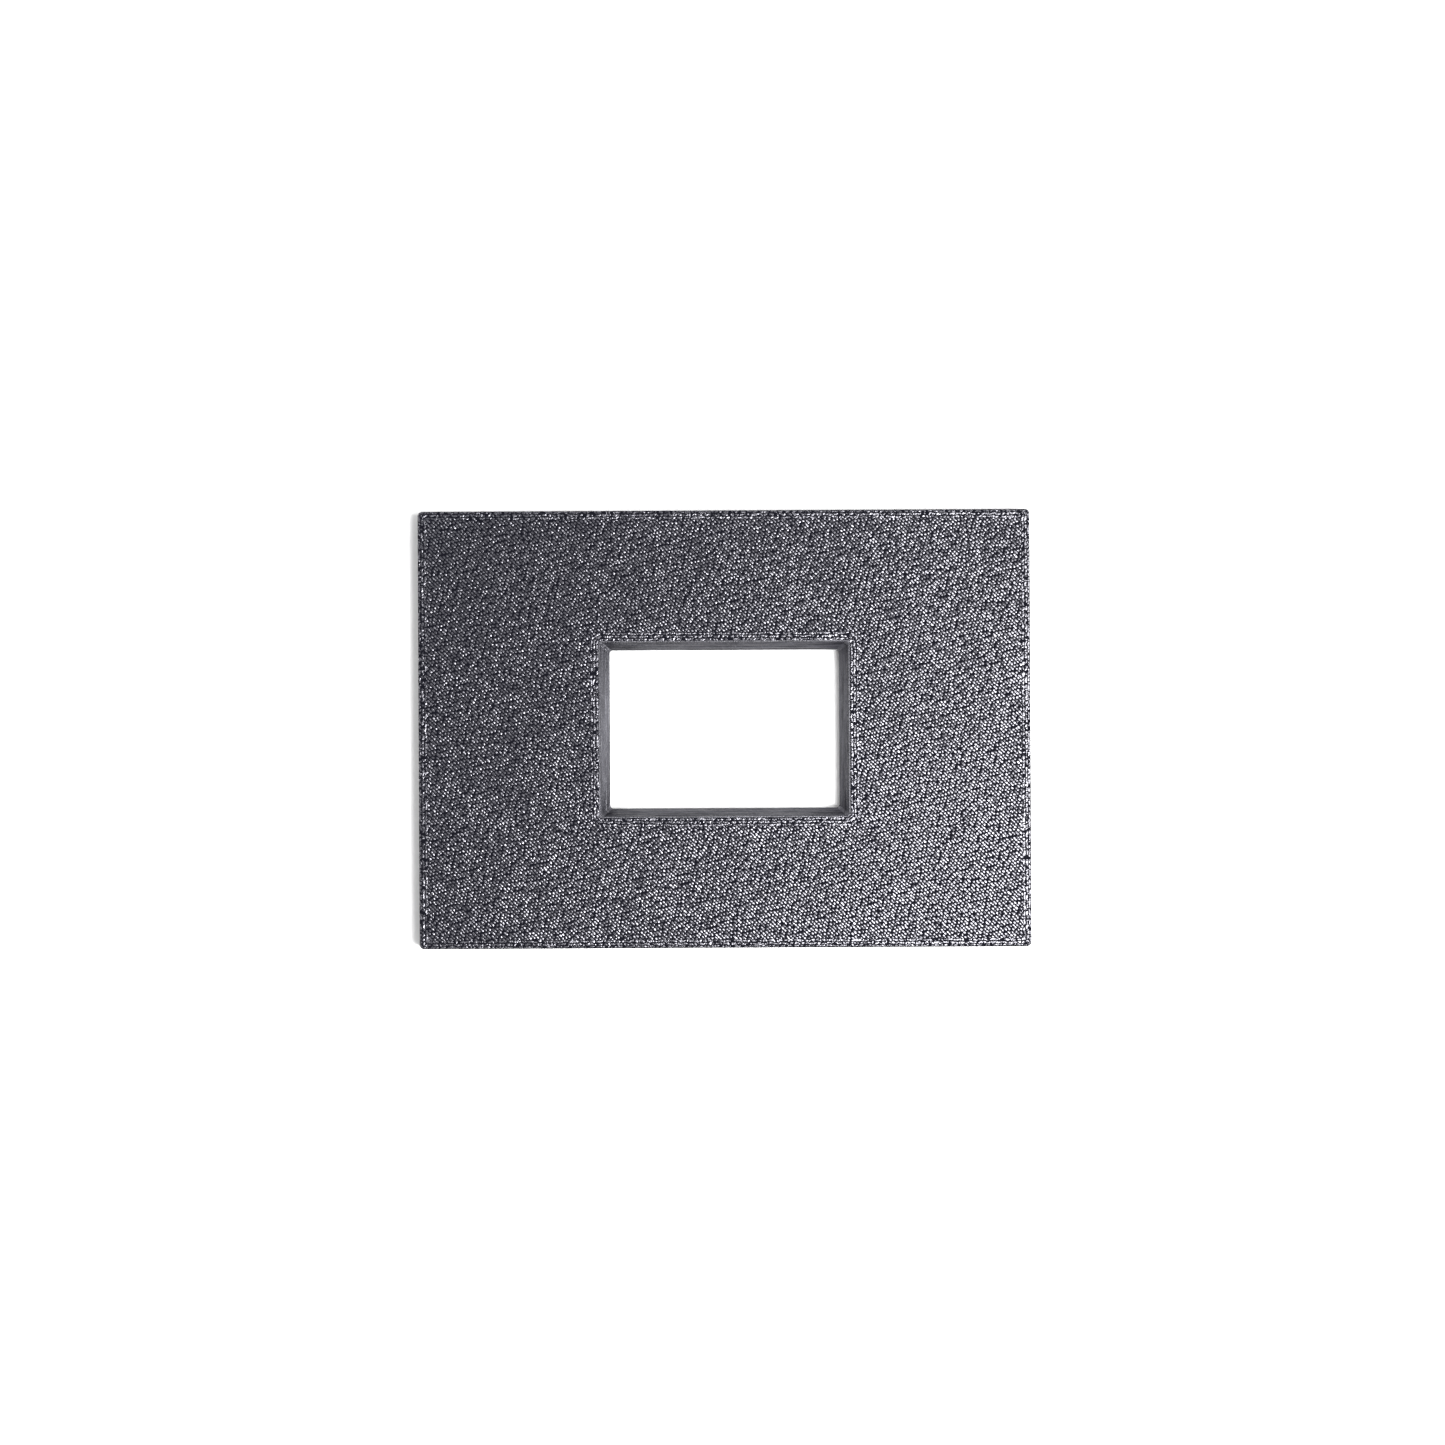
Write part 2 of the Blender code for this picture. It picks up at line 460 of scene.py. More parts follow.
@dataclass(frozen=True)
class BarePlate:
    """Bright metal with fine marks: the magnets' nickel and the pins' ground steel."""

    name: str
    color: Color
    dull_color: Color
    roughness: tuple[float, float]
    mark_shape: Color

    def material(self) -> bpy.types.Material:
        """Makes the finish."""
        graph = ShaderGraph(self.name)
        marks = graph.noise(graph.scaled(graph.place, self.mark_shape), 0.25 * MM, detail=4.0, roughness=0.65)
        smudge = graph.noise(graph.place, 2.2 * MM, detail=3.0)
        return graph.finish(
            Base_Color=graph.blend(smudge.fade(0.35, 0.75), self.color, self.dull_color),
            Roughness=(marks * 0.6 + smudge * 0.4).between(*self.roughness),
            Metallic=1.0,
            Normal=graph.bump(marks, 0.006 * MM),
        )


NICKEL = BarePlate("magnet_nickel", (0.70, 0.67, 0.61), (0.52, 0.50, 0.47), (0.10, 0.34), (1.0, 1.0, 1.0))
STEEL = BarePlate("pin_steel", (0.58, 0.59, 0.61), (0.42, 0.43, 0.45), (0.16, 0.40), (1.0, 1.0, 9.0))


@dataclass(frozen=True)
class StudioPaper:
    """White paper under the carrier."""

    color: Color = (0.75, 0.75, 0.75)
    shade_color: Color = (0.73, 0.73, 0.73)

    def material(self) -> bpy.types.Material:
        """Makes the finish."""
        graph = ShaderGraph("studio_paper")
        fibre = graph.noise(graph.place, 0.8 * MM, detail=4.0)
        return graph.finish(
            Base_Color=graph.blend(fibre, self.shade_color, self.color),
            Roughness=fibre.between(0.85, 0.95),
            Normal=graph.bump(fibre, 0.01 * MM),
        )


@dataclass(frozen=True)
class Ring:
    """A level rectangle with round corners, one line of a lofted skin."""

    half_x: float
    half_y: float
    corner: float
    z: float
    swell: float = 0.0

    def grown(self, by: float) -> Ring:
        """The ring moved outwards all round."""
        corner = max(self.corner + by, 0.02 * MM)
        return replace(self, half_x=self.half_x + by, half_y=self.half_y + by, corner=corner)

    def at(self, z: float) -> Ring:
        """The ring at another height."""
        return replace(self, z=z)

    def towards(self, other: Ring, share: float) -> Ring:
        """A ring part of the way to another."""
        return Ring(*(a + (b - a) * share for a, b in zip(astuple(self), astuple(other))))

    def slab(self, name: str, centre: Vector, half_depth: float) -> bpy.types.Object:
        """A box as long and as wide as the ring, moved to a centre."""
        half = Vector((self.half_x, self.half_y, half_depth))
        middle = Vector((centre.x, centre.y, self.z))
        return block(name, middle - half, middle + half)

    def points(self, corner_steps: int) -> list[Vector]:
        """The ring's points, with round corners, anticlockwise from the +X side."""
        found = []
        for turn, (sign_x, sign_y) in enumerate(((1, 1), (-1, 1), (-1, -1), (1, -1))):
            core = self.grown(-self.corner)
            centre = Vector((sign_x * core.half_x, sign_y * core.half_y, self.z))
            for step in range(corner_steps + 1):
                angle = (turn + step / corner_steps) * math.pi / 2
                wave = 0.5 - 0.5 * math.cos(4.0 * math.pi * step / corner_steps)
                reach = self.corner + self.swell * wave
                found.append(centre + Vector((math.cos(angle), math.sin(angle), 0.0)) * reach)
        return found


def bead_walls(start: Ring, end: Ring, beads: int, groove: float, samples: int = 6) -> list[Ring]:
    """Rings that climb a wall of printed beads.

    Args:
        start: The wall's first line.
        end: Its last line.
        beads: How many layers it has.
        groove: How far the ring grows in the groove between two beads.
        samples: Rings for each bead.

    Returns:
        The rings, start and end included.
    """
    chance = np.random.default_rng(beads)
    slips = np.abs(chance.normal(0.0, 0.8, beads + 1)) * groove
    rings = []
    for index in range(beads * samples + 1):
        depth = (2.0 * (index % samples) / samples - 1.0) ** 2
        slip = slips[index // samples] if 0 < index < beads * samples else 0.0
        rings.append(start.towards(end, index / (beads * samples)).grown(groove * depth + slip))
    return rings


def loft(name: str, rings: Sequence[Ring], corner_steps: int) -> bpy.types.Object:
    """A closed skin through rings, the last joined to the first.

    Args:
        name: The object's name.
        rings: The lines of the skin, in order.
        corner_steps: Facets in each round corner.

    Returns:
        The object.
    """
    shape = bmesh.new()
    loops = [[shape.verts.new(point) for point in ring.points(corner_steps)] for ring in rings]
    for low, high in zip(loops, loops[1:] + loops[:1]):
        for index in range(len(low)):
            shape.faces.new((low[index - 1], low[index], high[index], high[index - 1]))
    bmesh.ops.recalc_face_normals(shape, faces=shape.faces)
    return new_object(name, shape)


def new_object(name: str, shape: bmesh.types.BMesh) -> bpy.types.Object:
    """Turns a bmesh into an object in the scene."""
    mesh = bpy.data.meshes.new(name)
    shape.to_mesh(mesh)
    shape.free()
    obj = bpy.data.objects.new(name, mesh)
    bpy.context.scene.collection.objects.link(obj)
    return obj


def settle(obj: bpy.types.Object) -> None:
    """Makes an object's modifiers its mesh and removes them."""
    graph = bpy.context.evaluated_depsgraph_get()
    mesh = bpy.data.meshes.new_from_object(obj.evaluated_get(graph))
    obj.modifiers.clear()
    obj.data = mesh


def combine(obj: bpy.types.Object, tool: bpy.types.Object, operation: str) -> None:
    """Cuts, keeps or adds another closed object, and removes it.

    Args:
        obj: The object that changes.
        tool: The other object.
        operation: DIFFERENCE, INTERSECT or UNION.
    """
    modifier = obj.modifiers.new(operation, "BOOLEAN")
    modifier.operation = operation
    modifier.solver = "MANIFOLD"
    modifier.object = tool
    settle(obj)
    bpy.data.objects.remove(tool)


def joined(name: str, parts: Sequence[bpy.types.Object]) -> bpy.types.Object:
    """One object that holds several closed shapes, which are removed."""
    shape = bmesh.new()
    for part in parts:
        shape.from_mesh(part.data)
        bpy.data.objects.remove(part)
    return new_object(name, shape)


def block(name: str, low: Sequence[float], high: Sequence[float]) -> bpy.types.Object:
    """A box between two corners, used as a cutting tool."""
    low, high = Vector(low), Vector(high)
    shape = bmesh.new()
    size = Matrix.Diagonal((*(high - low), 1.0))
    bmesh.ops.create_cube(shape, size=1.0, matrix=Matrix.Translation((low + high) / 2) @ size)
    return new_object(name, shape)


def turned(name: str, profile: Sequence[Corner], centre: Vector, facets: int) -> bpy.types.Object:
    """A closed turned shape on an upright axis.

    Args:
        name: The object's name.
        profile: Radius and height of each corner, from the lower pole to the upper one.
        centre: Where the axis stands. Heights are measured from it.
        facets: How many sides the turning has.

    Returns:
        The object.
    """
    shape = bmesh.new()
    rings = []
    for radius, height in profile:
        rings.append([])
        for index in range(facets):
            angle = 2.0 * math.pi * index / facets
            offset = Vector((math.cos(angle) * radius, math.sin(angle) * radius, height))
            rings[-1].append(shape.verts.new(centre + offset))
    for low, high in zip(rings, rings[1:]):
        for index in range(facets):
            shape.faces.new((low[index - 1], low[index], high[index], high[index - 1]))
    shape.faces.new(rings[0])
    shape.faces.new(rings[-1])
    bmesh.ops.recalc_face_normals(shape, faces=shape.faces)
    return new_object(name, shape)


def rounded_profile(radius: float, low: float, high: float, edge: float, steps: int) -> list[Corner]:
    """The profile of a disc or pin with round edges.

    Args:
        radius: The piece's radius.
        low: Its lower end.
        high: Its upper end.
        edge: The radius of its edges.
        steps: Facets in each edge.

    Returns:
        Radius and height of each corner, from the lower end to the upper one.
    """
    quarter = [math.pi / 2 * step / steps for step in range(steps + 1)]
    lower = [(radius - edge + edge * math.sin(a), low + edge - edge * math.cos(a)) for a in quarter]
    upper = [(radius - edge + edge * math.cos(a), high - edge + edge * math.sin(a)) for a in quarter]
    return lower + upper


def shade(obj: bpy.types.Object, sharp_angle: float) -> None:
    """Shades a mesh smooth, apart from edges sharper than an angle in degrees."""
    obj.data.shade_smooth()
    obj.data.set_sharp_from_angle(angle=math.radians(sharp_angle))


def put_in_place(piece: bpy.types.Object, node: str) -> None:
    """Puts a finished piece in a node's place, on the node's body.

    Args:
        piece: The piece.
        node: The node that it stands for.
    """
    body = body_of(node)
    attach(piece, body)
    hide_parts(node)
    LOG.info("%s stands for %s on body %s, %d faces", piece.name, node, body, len(piece.data.polygons))


def body_of(node: str) -> str:
    """The body that a node belongs to."""
    bodies = frame["record"]["behaviour"]["bodies"]
    return next(body for body, nodes in bodies.items() if node in nodes)


class GeometryRecipe(NodeGraph):
    """A geometry tree with named inputs, used as a modifier."""

    def __init__(self, name: str, inputs: dict[str, float | int | bpy.types.Material]) -> None:
        """Makes the tree.

        Args:
            name: The tree's name.
            inputs: Each input's value, whose type gives the socket's.
        """
        super().__init__(bpy.data.node_groups.new(name, "GeometryNodeTree"))
        face = self.tree.interface
        face.new_socket(name="Geometry", in_out="INPUT", socket_type="NodeSocketGeometry")
        face.new_socket(name="Geometry", in_out="OUTPUT", socket_type="NodeSocketGeometry")
        self.values = {}
        kinds = {float: "Float", int: "Int", bpy.types.Material: "Material"}
        for label, value in inputs.items():
            kind = f"NodeSocket{kinds[type(value)]}"
            socket = face.new_socket(name=label, in_out="INPUT", socket_type=kind)
            self.values[socket.identifier] = value
        self.inputs = self.add("NodeGroupInput")

    def input(self, name: str) -> Signal:
        """The signal of a named input."""
        return self.inputs.sibling(name)

    def close(self, geometry: Signal, material: Signal) -> None:
        """Ends the tree: the instances are made real and take the material."""
        real = self.add("GeometryNodeRealizeInstances", values={0: geometry})
        dressed = self.add("GeometryNodeSetMaterial", values={"Geometry": real, "Material": material})
        self.add("NodeGroupOutput", values={0: dressed})

    def apply(self, obj: bpy.types.Object) -> None:
        """Runs the tree on an object and keeps the result as its mesh."""
        modifier = obj.modifiers.new(self.tree.name, "NODES")
        modifier.node_group = self.tree
        for identifier, value in self.values.items():
            modifier[identifier] = value
        settle(obj)
        bpy.data.node_groups.remove(self.tree)


@dataclass(frozen=True)
class Socket:
    """A round blind hole in a plate's inner face, for a magnet or a pin."""

    centre: Vector
    radius: float
    deep: float
    lead: float = 0.15 * MM
    facets: int = 96

    def tool(self, face: float) -> bpy.types.Object:
        """The shape that cuts the hole, with a lead-in at its mouth.

        Args:
            face: The height of the face that it opens on.

        Returns:
            The tool.
        """
        up = math.copysign(1.0, self.deep - face)
        mouth = self.radius + self.lead
        profile = [(mouth, -up * TOOL_OVERRUN), (mouth, 0.0)]
        profile += [(self.radius, up * self.lead), (self.radius, self.deep - face)]
        centre = Vector((self.centre.x, self.centre.y, face))
        return turned("socket", sorted(profile, key=lambda corner: corner[1]), centre, self.facets)

    def rim(self, z: float) -> Ring:
        """The mouth's outline, as a ring round the origin."""
        mouth = self.radius + self.lead
        return Ring(mouth, mouth, mouth, z)


@dataclass
class PrintedPlate:
    """One of the two plates, printed with its outer face on the bed."""

    side: str
    outer_z: float
    inner_z: float
    outline: Vector
    window: Vector
    channel_half: float
    plastic: PrintedPlastic = PrintedPlastic()
    slope_run: Vector = field(default_factory=lambda: Vector((1.77 * MM, 1.51 * MM)))
    corner: float = 0.7 * MM
    rim: float = 0.3 * MM
    window_corner: float = 0.5 * MM
    corner_swell: float = 0.13 * MM
    land: float = 0.4 * MM
    bed_layer: float = 0.28 * MM
    overlap: float = 0.05 * MM
    groove: float = 0.045 * MM
    relief: float = 0.005 * MM
    cell: float = 0.34 * MM
    corner_steps: int = 8
    channel_depth: float = 0.2 * MM
    line_width: float = 0.43 * MM
    line_height: float = 0.022 * MM
    line_sink: float = 0.004 * MM
    bead_sides: int = 12
    edge_loops: int = 3
    socket_loops: int = 2
    sharp_angle: float = 38.0

    @property
    def up(self) -> float:
        """1 where the outer face points up, -1 where it points down."""
        return math.copysign(1.0, self.outer_z - self.inner_z)

    @property
    def opening(self) -> Vector:
        """Half the window's size on the outer face."""
        return self.window + self.slope_run

    def around(self, z: float) -> Ring:
        """The plate's outline at a height."""
        return Ring(self.outline.x, self.outline.y, self.corner, z)

    def bed_skin(self) -> bpy.types.Object:
        """The pebbled face: a fine grid with a round rim, closed underneath."""
        flat = self.outline - Vector((self.rim, self.rim))
        xs = self._grid_lines(flat.x, self.opening.x)
        ys = self._grid_lines(flat.y, self.opening.y)
        columns, rows = np.meshgrid(xs, ys, indexing="ij")
        plan = np.stack([columns.ravel(), rows.ravel()], axis=1)
        plan = self._rounded(plan, flat, self.corner - self.rim, keep_inside=True)
        plan = self._rounded(plan, self.opening, self.window_corner, keep_inside=False)
        shape = bmesh.new()
        inside = (abs(columns) < self.opening.x - 0.01 * MM) & (abs(rows) < self.opening.y - 0.01 * MM)
        verts = {}
        for index in np.flatnonzero(~inside.ravel()):
            verts[int(index)] = shape.verts.new((*plan[index], self.outer_z))
        width = len(ys)
        for column in range(len(xs) - 1):
            for row in range(width - 1):
                corners = [column * width + row, (column + 1) * width + row]
                corners += [corners[1] + 1, corners[0] + 1]
                middle_x = abs(xs[column] + xs[column + 1]) / 2
                middle_y = abs(ys[row] + ys[row + 1]) / 2
                if middle_x > self.opening.x or middle_y > self.opening.y:
                    shape.faces.new([verts[corner] for corner in corners])
        self._close_underneath(shape, flat)
        bmesh.ops.recalc_face_normals(shape, faces=shape.faces)
        return new_object(f"{self.side}_bed_skin", shape)

    def _grid_lines(self, half: float, opening: float) -> np.ndarray:
        """Grid lines across the face, with one along each side of the window."""
        side = np.linspace(opening, half, round((half - opening) / self.cell) + 1)
        middle = np.linspace(-opening, opening, round(2 * opening / self.cell) + 1)
        return np.concatenate([-side[:0:-1], middle, side[1:]])

    @staticmethod
    def _rounded(plan: np.ndarray, half: Vector, radius: float, keep_inside: bool) -> np.ndarray:
        """Bends the grid to a rectangle's round corners.

        Args:
            plan: The points' X and Y.
            half: Half the rectangle's size.
            radius: The corners' radius.
            keep_inside: Whether the whole corner is bent, or only the points on the rectangle's own edge.

        Returns:
            The points after bending.
        """
        centre = np.array(half) - radius
        over = (np.abs(plan) - centre) / radius
        reach = over.max(axis=1)
        bent = (over > 0).all(axis=1) & (reach < 1.001)
        if not keep_inside:
            bent &= reach > 0.999
        shrink = reach[bent] / np.hypot(*over[bent].T)
        moved = plan.copy()
        moved[bent] = np.sign(plan[bent]) * (centre + over[bent] * shrink[:, None] * radius)
        return moved

    def _close_underneath(self, shape: bmesh.types.BMesh, flat: Vector) -> None:
        """Rolls the grid's two edges down and joins them under the face.

        Args:
            shape: The grid, which gains the rim and the underside.
            flat: Half the size of the flat part of the face.
        """
        depth = self.bed_layer + self.overlap
        quarter = [math.pi / 2 * step / 3 for step in range(1, 4)]
        rim = [(self.rim * math.sin(a), self.rim * (1.0 - math.cos(a))) for a in quarter]
        rim += [(self.rim - 0.1 * MM, depth)]
        edges = [edge for edge in shape.edges if edge.is_boundary]
        outer = [edge for edge in edges if self._beyond(edge, self.opening)]
        inner = [edge for edge in edges if not self._beyond(edge, self.opening)]
        outer = self._skirt(shape, outer, rim, flat, self.corner - self.rim)
        inner = self._skirt(shape, inner, [(0.0, depth)], self.opening, self.window_corner)
        bmesh.ops.bridge_loops(shape, edges=outer + inner)

    @staticmethod
    def _beyond(edge: bmesh.types.BMEdge, half: Vector) -> bool:
        """Whether an edge lies clearly outside a rectangle."""
        clear = 1.0 * MM
        middle = (edge.verts[0].co + edge.verts[1].co) / 2
        return abs(middle.x) > half.x + clear or abs(middle.y) > half.y + clear

    def _skirt(
        self,
        shape: bmesh.types.BMesh,
        edges: list[bmesh.types.BMEdge],
        steps: Sequence[Corner],
        half: Vector,
        radius: float,
    ) -> list[bmesh.types.BMEdge]:
        """Extrudes a closed line of edges down a profile.

        Args:
            shape: The mesh.
            edges: The line.
            steps: How far out and how far down each new line lies from the first.
            half: Half the size of the rectangle that the line follows.
            radius: That rectangle's corner radius.

        Returns:
            The last line's edges.
        """
        done = 0.0, 0.0
        for outward, down in steps:
            made = bmesh.ops.extrude_edge_only(shape, edges=edges)["geom"]
            edges = [part for part in made if isinstance(part, bmesh.types.BMEdge)]
            core = Vector((half.x - radius, half.y - radius))
            for vert in {vert for edge in edges for vert in edge.verts}:
                away = Vector((self._past(vert.co.x, core.x), self._past(vert.co.y, core.y), 0.0))
                vert.co += away.normalized() * (outward - done[0])
                vert.co.z -= self.up * (down - done[1])
            done = outward, down
        return edges

    @staticmethod
    def _past(value: float, limit: float) -> float:
        """How far a value lies past a limit, on either side of 0."""
        return math.copysign(max(abs(value) - limit, 0.0), value)

    def layers(self) -> bpy.types.Object:
        """Everything above the bed layer: the side walls, the inner face and the window's walls."""
        top_z = self.outer_z - self.up * self.bed_layer
        depth = abs(top_z - self.inner_z)
        count = round(depth / self.plastic.layer_height)
        outside = self.around(self.inner_z)
        wall = bead_walls(outside, outside.at(top_z), count, -self.groove)
        land_z = self.inner_z + self.up * self.land
        throat = Ring(self.window.x, self.window.y, self.window_corner, land_z, self.corner_swell)
        opening = Ring(self.opening.x, self.opening.y, self.window_corner, self.outer_z, self.corner_swell)
        mouth = throat.towards(opening, (top_z - land_z) / (self.outer_z - land_z))
        slope_beads = round(abs(top_z - land_z) / self.plastic.layer_height)
        land_beads = round(self.land / self.plastic.layer_height)
        slope = bead_walls(mouth, throat, slope_beads, self.groove)
        land = bead_walls(throat, throat.at(self.inner_z), land_beads, self.groove * 0.5)
        return loft(f"{self.side}_layers", wall + slope + land[1:], self.corner_steps)

    def pebble(self, skin: bpy.types.Object, material: bpy.types.Material) -> None:
        """Raises the grain of the print bed on the face.

        Args:
            skin: The bed skin.
            material: The face's finish.
        """
        recipe = GeometryRecipe(
            "bed_grain",
            {
                "Grain Height": self.relief,
                "Face Height": self.outer_z,
                "Half Length": self.outline.x - self.rim,
                "Half Width": self.outline.y - self.rim,
                "Window Half Length": self.opening.x,
                "Window Half Width": self.opening.y,
                "Material": material,
            },
        )
        place = recipe.add("GeometryNodeInputPosition")
        x, y, z = recipe.axes(place)
        edge = (recipe.input("Half Length") - abs(x)).least(recipe.input("Half Width") - abs(y))
        hole = (abs(x) - recipe.input("Window Half Length")).most(abs(y) - recipe.input("Window Half Width"))
        inside = edge.least(hole).fade(0.05 * MM, 0.25 * MM)
        on_face = 1.0 - abs(z - recipe.input("Face Height")).fade(0.001 * MM, 0.01 * MM)
        grain = self.plastic.undulation(recipe, place)
        lift = (grain - 1.0) * recipe.input("Grain Height") * inside * on_face * self.up
        moved = recipe.add(
            "GeometryNodeSetPosition", values={"Geometry": recipe.inputs, "Offset": recipe.vector(z=lift)}
        )
        recipe.close(moved, recipe.input("Material"))
        recipe.apply(skin)

    def _raster(self, z: float, slab: bpy.types.Object, material: bpy.types.Material) -> bpy.types.Object:
        """The slanting lines of a last layer.

        Args:
            z: The layer's height.
            slab: A slab over the part of the face that they fill.
            material: Their finish.

        Returns:
            The lines, cut to the slab.
        """
        spacing = self.plastic.line_spacing
        reach = 2.0 * self.outline.length
        recipe = GeometryRecipe(
            "last_layer_lines",
            {
                "Line Spacing": spacing,
                "Line Count": round(reach / spacing),
                "Line Length": reach,
                "Line Width": self.line_width,
                "Line Height": self.line_height,
                "Layer Height": z,
                "Slant": self.up * math.pi / 4,
                "Material": material,
            },
        )
        slant, count = recipe.input("Slant"), recipe.input("Line Count")
        step_x = recipe.input("Line Spacing") * slant.math("COSINE")
        step_y = recipe.input("Line Spacing") * slant.math("SINE")
        first = (count - 1.0) * -0.5
        start = recipe.vector(first * step_x, first * step_y, recipe.input("Layer Height"))
        row = {"Count": count, "Start Location": start, "Offset": recipe.vector(step_x, step_y)}
        bead = {"Vertices": self.bead_sides, "Radius": 0.5, "Depth": 1.0}
        width, height = recipe.input("Line Width"), recipe.input("Line Height") * 2.0
        values = {
            "Points": recipe.add("GeometryNodeMeshLine", {"mode": "OFFSET"}, row),
            "Instance": recipe.add("GeometryNodeMeshCylinder", values=bead),
            "Rotation": recipe.vector(math.pi / 2, 0.0, slant),
            "Scale": recipe.vector(width, height, recipe.input("Line Length")),
        }
        recipe.close(recipe.add("GeometryNodeInstanceOnPoints", values=values), recipe.input("Material"))
        lines = new_object("lines", bmesh.new())
        recipe.apply(lines)
        combine(lines, slab, "INTERSECT")
        return lines

    def _loops(self, edge: Ring, inward: bool, count: int, centre: Vector) -> list[bpy.types.Object]:
        """The beads laid beside an edge.

        Args:
            edge: The edge.
            inward: Whether they lie inside it.
            count: How many there are.
            centre: Where the edge's middle lies.

        Returns:
            One shape for each bead.
        """
        found = []
        side = -1.0 if inward else 1.0
        for index in range(count):
            middle = edge.grown(side * self.plastic.line_spacing * (index + 0.5))
            rings = []
            for step in range(self.bead_sides):
                angle = 2.0 * math.pi * step / self.bead_sides
                ring = middle.grown(self.line_width / 2 * math.cos(angle))
                rings.append(ring.at(middle.z + self.line_height * math.sin(angle)))
            loop = loft("loop", rings, self.corner_steps)
            loop.data.transform(Matrix.Translation((centre.x, centre.y, 0.0)))
            found.append(loop)
        return found

    def last_layer(self, sockets: Sequence[Socket], material: bpy.types.Material) -> bpy.types.Object:
        """The lines and loops of the inner face, and of the channel's floor where there is one.

        Args:
            sockets: The holes that the lines go round.
            material: Their finish.

        Returns:
            All of them.
        """
        origin = Vector((0.0, 0.0))
        z = self.inner_z + self.up * self.line_sink
        floor = z + self.up * self.channel_depth * (self.channel_half > 0.0)
        window = Ring(self.window.x, self.window.y, self.window_corner, floor)
        corner = 0.1 * MM
        if self.channel_half:
            rail_half = (self.outline.y - self.channel_half) / 2
            rail = Ring(self.outline.x, rail_half, corner, z)
            away = Vector((0.0, self.channel_half + rail_half))
            channel = Ring(self.outline.x, self.channel_half, corner, floor)
            fields = [(rail, away), (rail, -away), (channel, origin)]
        else:
            fields = [(self.around(z), origin)]
        margin = self.edge_loops * self.plastic.line_spacing
        parts = self._loops(window, False, self.edge_loops, origin)
        for edge, centre in fields:
            parts += self._loops(edge, True, self.edge_loops, centre)
            slab = edge.grown(-margin).slab("slab", centre, 0.1 * MM)
            if centre is origin:
                hole = window.grown(margin).at(edge.z).slab("hole", origin, TOOL_OVERRUN)
                combine(slab, hole, "DIFFERENCE")
            for socket in sockets:
                if abs(socket.centre.y - centre.y) < edge.half_y:
                    clear = socket.radius + socket.lead + self.socket_loops * self.plastic.line_spacing
                    middle = Vector((socket.centre.x, socket.centre.y, edge.z))
                    sides = [(clear, -TOOL_OVERRUN), (clear, TOOL_OVERRUN)]
                    combine(slab, turned("clear", sides, middle, socket.facets), "DIFFERENCE")
            parts.append(self._raster(edge.z, slab, material))
        for socket in sockets:
            parts += self._loops(socket.rim(z), False, self.socket_loops, socket.centre)
        return joined("last_layer", parts)

    def build(self, sockets: Sequence[Socket]) -> bpy.types.Object:
        """Makes the plate.

        Args:
            sockets: The holes for the magnets and pins.

        Returns:
            The plate's object.
        """
        opening = Ring(self.opening.x, self.opening.y, self.window_corner, self.outer_z)
        outline = self.around(self.outer_z)
        finishes = [self.plastic.material(surface, outline, opening) for surface in Surface]
        skin = self.bed_skin()
        self.pebble(skin, finishes[Surface.BED_FACE.value])
        plate = self.layers()
        if self.channel_half:
            reach = self.outline.x + TOOL_OVERRUN
            floor = self.inner_z + self.up * self.channel_depth
            ends = sorted((floor, self.inner_z - self.up * TOOL_OVERRUN))
            low, high = (-reach, -self.channel_half, ends[0]), (reach, self.channel_half, ends[1])
            combine(plate, block("channel", low, high), "DIFFERENCE")
        combine(plate, self.last_layer(sockets, finishes[Surface.LAST_LAYER.value]), "UNION")
        for socket in sockets:
            combine(plate, socket.tool(self.inner_z), "DIFFERENCE")
        combine(plate, skin, "UNION")
        plate.name = f"{self.side}_printed_plate"
        self._dress(plate, finishes)
        shade(plate, self.sharp_angle)
        return plate

    def _dress(self, plate: bpy.types.Object, finishes: Sequence[bpy.types.Material]) -> None:
        """Gives each face the finish of its kind of surface."""
        mesh = plate.data
        mesh.materials.clear()
        for finish in finishes:
            mesh.materials.append(finish)
        count = len(mesh.polygons)
        normals, centres = np.zeros(count * 3), np.zeros(count * 3)
        mesh.polygons.foreach_get("normal", normals)
        mesh.polygons.foreach_get("center", centres)
        facing = normals.reshape(-1, 3)[:, 2] * self.up
        height = (centres.reshape(-1, 3)[:, 2] - self.inner_z) * self.up
        thickness = abs(self.outer_z - self.inner_z)
        kinds = np.full(count, Surface.WALL.value, dtype=np.int32)
        kinds[(facing > 0.5) & (height > thickness - 0.12 * MM)] = Surface.BED_FACE.value
        kinds[(facing < -0.5) & (height < self.channel_depth * 2.0)] = Surface.LAST_LAYER.value
        mesh.polygons.foreach_set("material_index", kinds)


